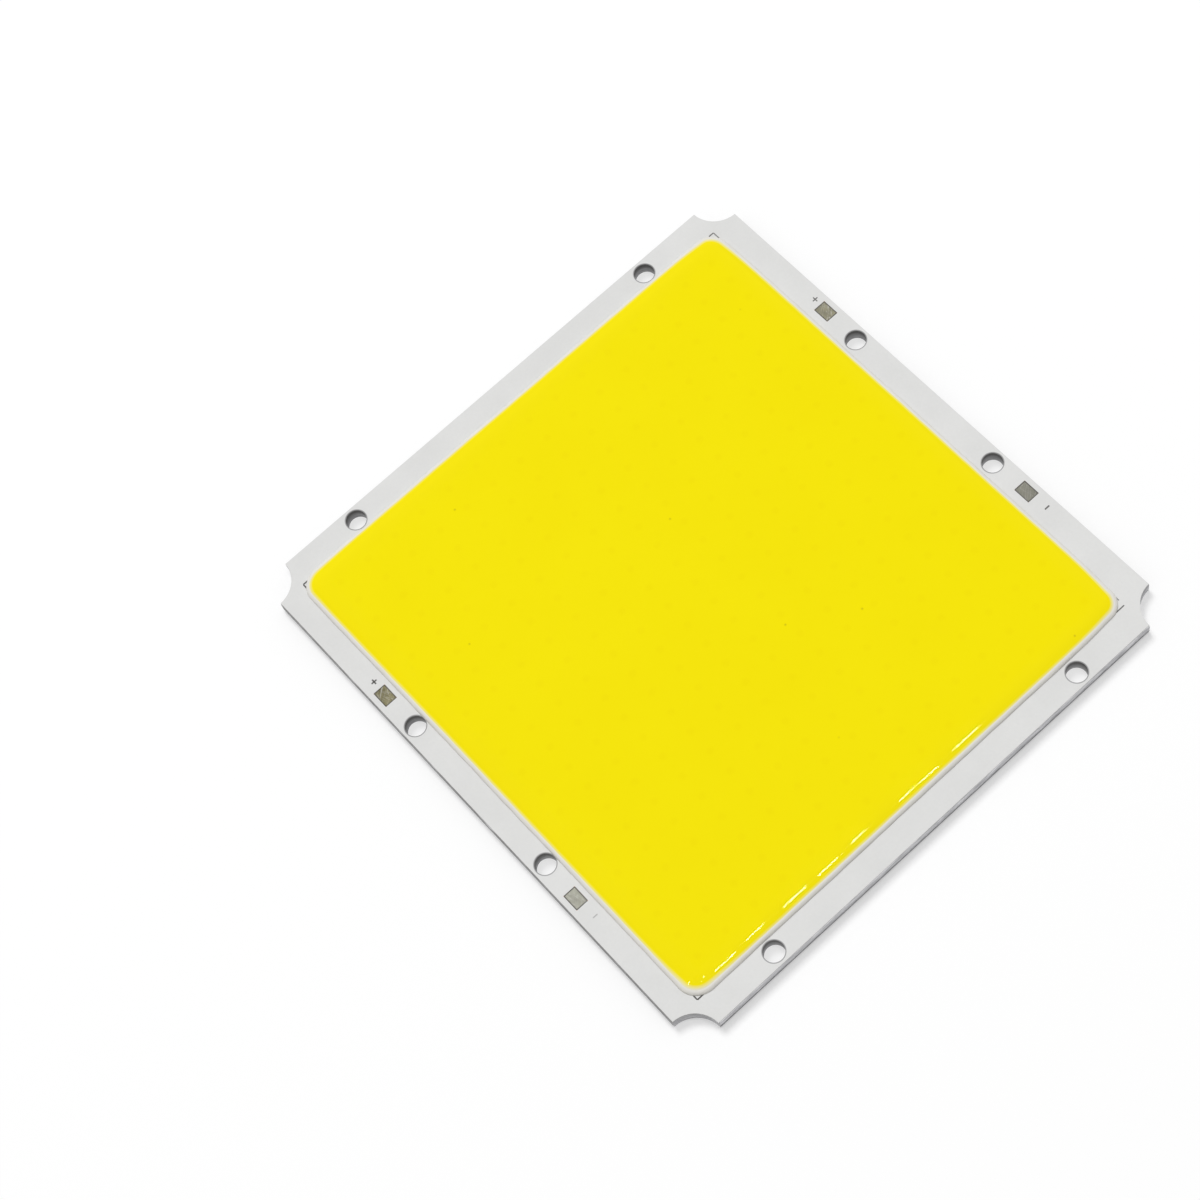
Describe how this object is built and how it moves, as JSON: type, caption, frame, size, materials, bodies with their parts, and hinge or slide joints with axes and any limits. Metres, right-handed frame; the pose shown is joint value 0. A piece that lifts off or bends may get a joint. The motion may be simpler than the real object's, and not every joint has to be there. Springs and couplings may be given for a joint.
{
  "type": "led panel",
  "caption": "Flat chip-on-board LED panel: white aluminium-core board with notched corners, edge screw holes and solder pads, and a broad yellow phosphor light field inside a bead.",
  "frame": {"origin": "centre of the back face", "axes": "+X along the longer side, from the positive end to the negative end; +Y along the shorter side; +Z out of the light face"},
  "size_m": [0.1, 0.095, 0.0033],
  "materials": {
    "bare_aluminium": "mill finish sheet, scored and snapped edges",
    "insulating_film": "matt",
    "etched_copper": "etched foil",
    "white_mask": "satin ink",
    "tinned_pad": "tinned",
    "joint_solder": "solder",
    "sapphire_diode": "polished",
    "cream_silicone": "smooth silicone",
    "yellow_phosphor": "glossy phosphor silicone"
  },
  "bodies": {
    "root": {"aluminium_base_plate": "bare_aluminium", "dielectric_layer": "insulating_film", "copper_positive_net": "etched_copper", "copper_link_net_1": "etched_copper", "copper_link_net_2": "etched_copper", "copper_link_net_3": "etched_copper", "copper_negative_net": "etched_copper", "solder_mask": "white_mask", "positive_pad_upper": "tinned_pad", "positive_pad_lower": "tinned_pad", "negative_pad_upper": "tinned_pad", "negative_pad_lower": "tinned_pad", "string_solder_1": "joint_solder", "string_solder_2": "joint_solder", "string_solder_3": "joint_solder", "string_solder_4": "joint_solder", "led_string_1": "sapphire_diode", "led_string_2": "sapphire_diode", "led_string_3": "sapphire_diode", "led_string_4": "sapphire_diode", "dam_bead": "cream_silicone", "phosphor_layer": "yellow_phosphor"}
  },
  "joints": []
}
